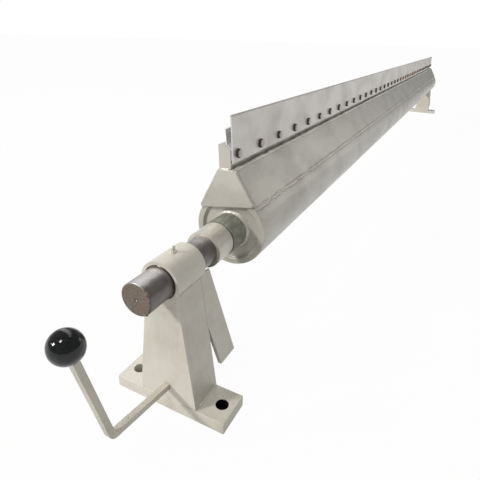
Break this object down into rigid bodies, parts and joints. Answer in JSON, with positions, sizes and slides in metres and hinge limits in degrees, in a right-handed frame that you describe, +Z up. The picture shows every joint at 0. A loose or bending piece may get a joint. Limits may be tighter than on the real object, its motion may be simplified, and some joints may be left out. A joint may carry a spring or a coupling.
{
  "type": "doctor blade beam with pedestals",
  "caption": "Long tube beam on two bushed pedestals, clamping a scraper blade along its top, with a bent hand lever and ball knob on one pedestal.",
  "frame": {"origin": "centre of the near base plate's underside, midway between its two holding-down holes", "axes": "+Z up; +Y along the shaft axis from the near pedestal, which carries the lever, to the far one; +X to the side of the blade that shows the bolt heads"},
  "size_m": [0.248, 4.657, 0.5233],
  "materials": {
    "cast_paint": "silver-beige enamel, satin, brushed on over welded plate",
    "beam_paint": "silver-grey enamel, satin, over rolled tube and plate",
    "collar_paint": "silver-grey enamel, worn at the edges",
    "lever_paint": "silver-beige enamel over square bar",
    "bare_steel": "turned steel with light rust staining",
    "blade_steel": "rolled sheet steel, mottled",
    "spring_steel": "bright rolled strip",
    "black_steel": "oiled bolts with brown rust bloom",
    "plated_steel": "zinc plated",
    "bronze": "machined bronze",
    "knob_plastic": "polished black phenolic"
  },
  "bodies": {
    "pedestals": {"near_base_plate": "cast_paint", "near_front_plate": "cast_paint", "near_side_plate_left": "cast_paint", "near_rear_brace_left": "cast_paint", "near_side_plate_right": "cast_paint", "near_rear_brace_right": "cast_paint", "near_bearing_sleeve": "cast_paint", "near_bearing_bush": "bronze", "near_grease_nipple": "plated_steel", "far_base_plate": "cast_paint", "far_front_plate": "cast_paint", "far_side_plate_left": "cast_paint", "far_rear_brace_left": "cast_paint", "far_side_plate_right": "cast_paint", "far_rear_brace_right": "cast_paint", "far_bearing_sleeve": "cast_paint", "far_bearing_bush": "bronze", "far_grease_nipple": "plated_steel"},
    "beam": {"near_stub_shaft": "bare_steel", "near_thrust_collar": "collar_paint", "near_end_disc": "beam_paint", "near_inner_disc": "beam_paint", "near_collar_screw": "black_steel", "near_box_cover": "beam_paint", "far_stub_shaft": "bare_steel", "far_thrust_collar": "collar_paint", "far_end_disc": "beam_paint", "far_inner_disc": "beam_paint", "far_collar_screw": "black_steel", "far_box_cover": "beam_paint", "beam_tube": "beam_paint", "box_side_left": "beam_paint", "box_side_right": "beam_paint", "blade_bar": "beam_paint", "backing_strip": "spring_steel", "blade": "blade_steel", "clamp_bolts": "black_steel"},
    "lever": {"lever_bar": "lever_paint", "lever_knob": "knob_plastic", "lever_washer": "plated_steel", "lever_nut": "plated_steel"}
  },
  "joints": [
    {"name": "beam_swing", "type": "hinge", "parent": "pedestals", "child": "beam", "pos_m": [0, 0, 0.289], "axis": [0, 1, 0], "range_deg": [-25, 45]},
    {"name": "lever_turn", "type": "hinge", "parent": "pedestals", "child": "lever", "pos_m": [0, -0.0375, 0.059], "axis": [0, 1, 0], "range_deg": [-60, 60]}
  ]
}
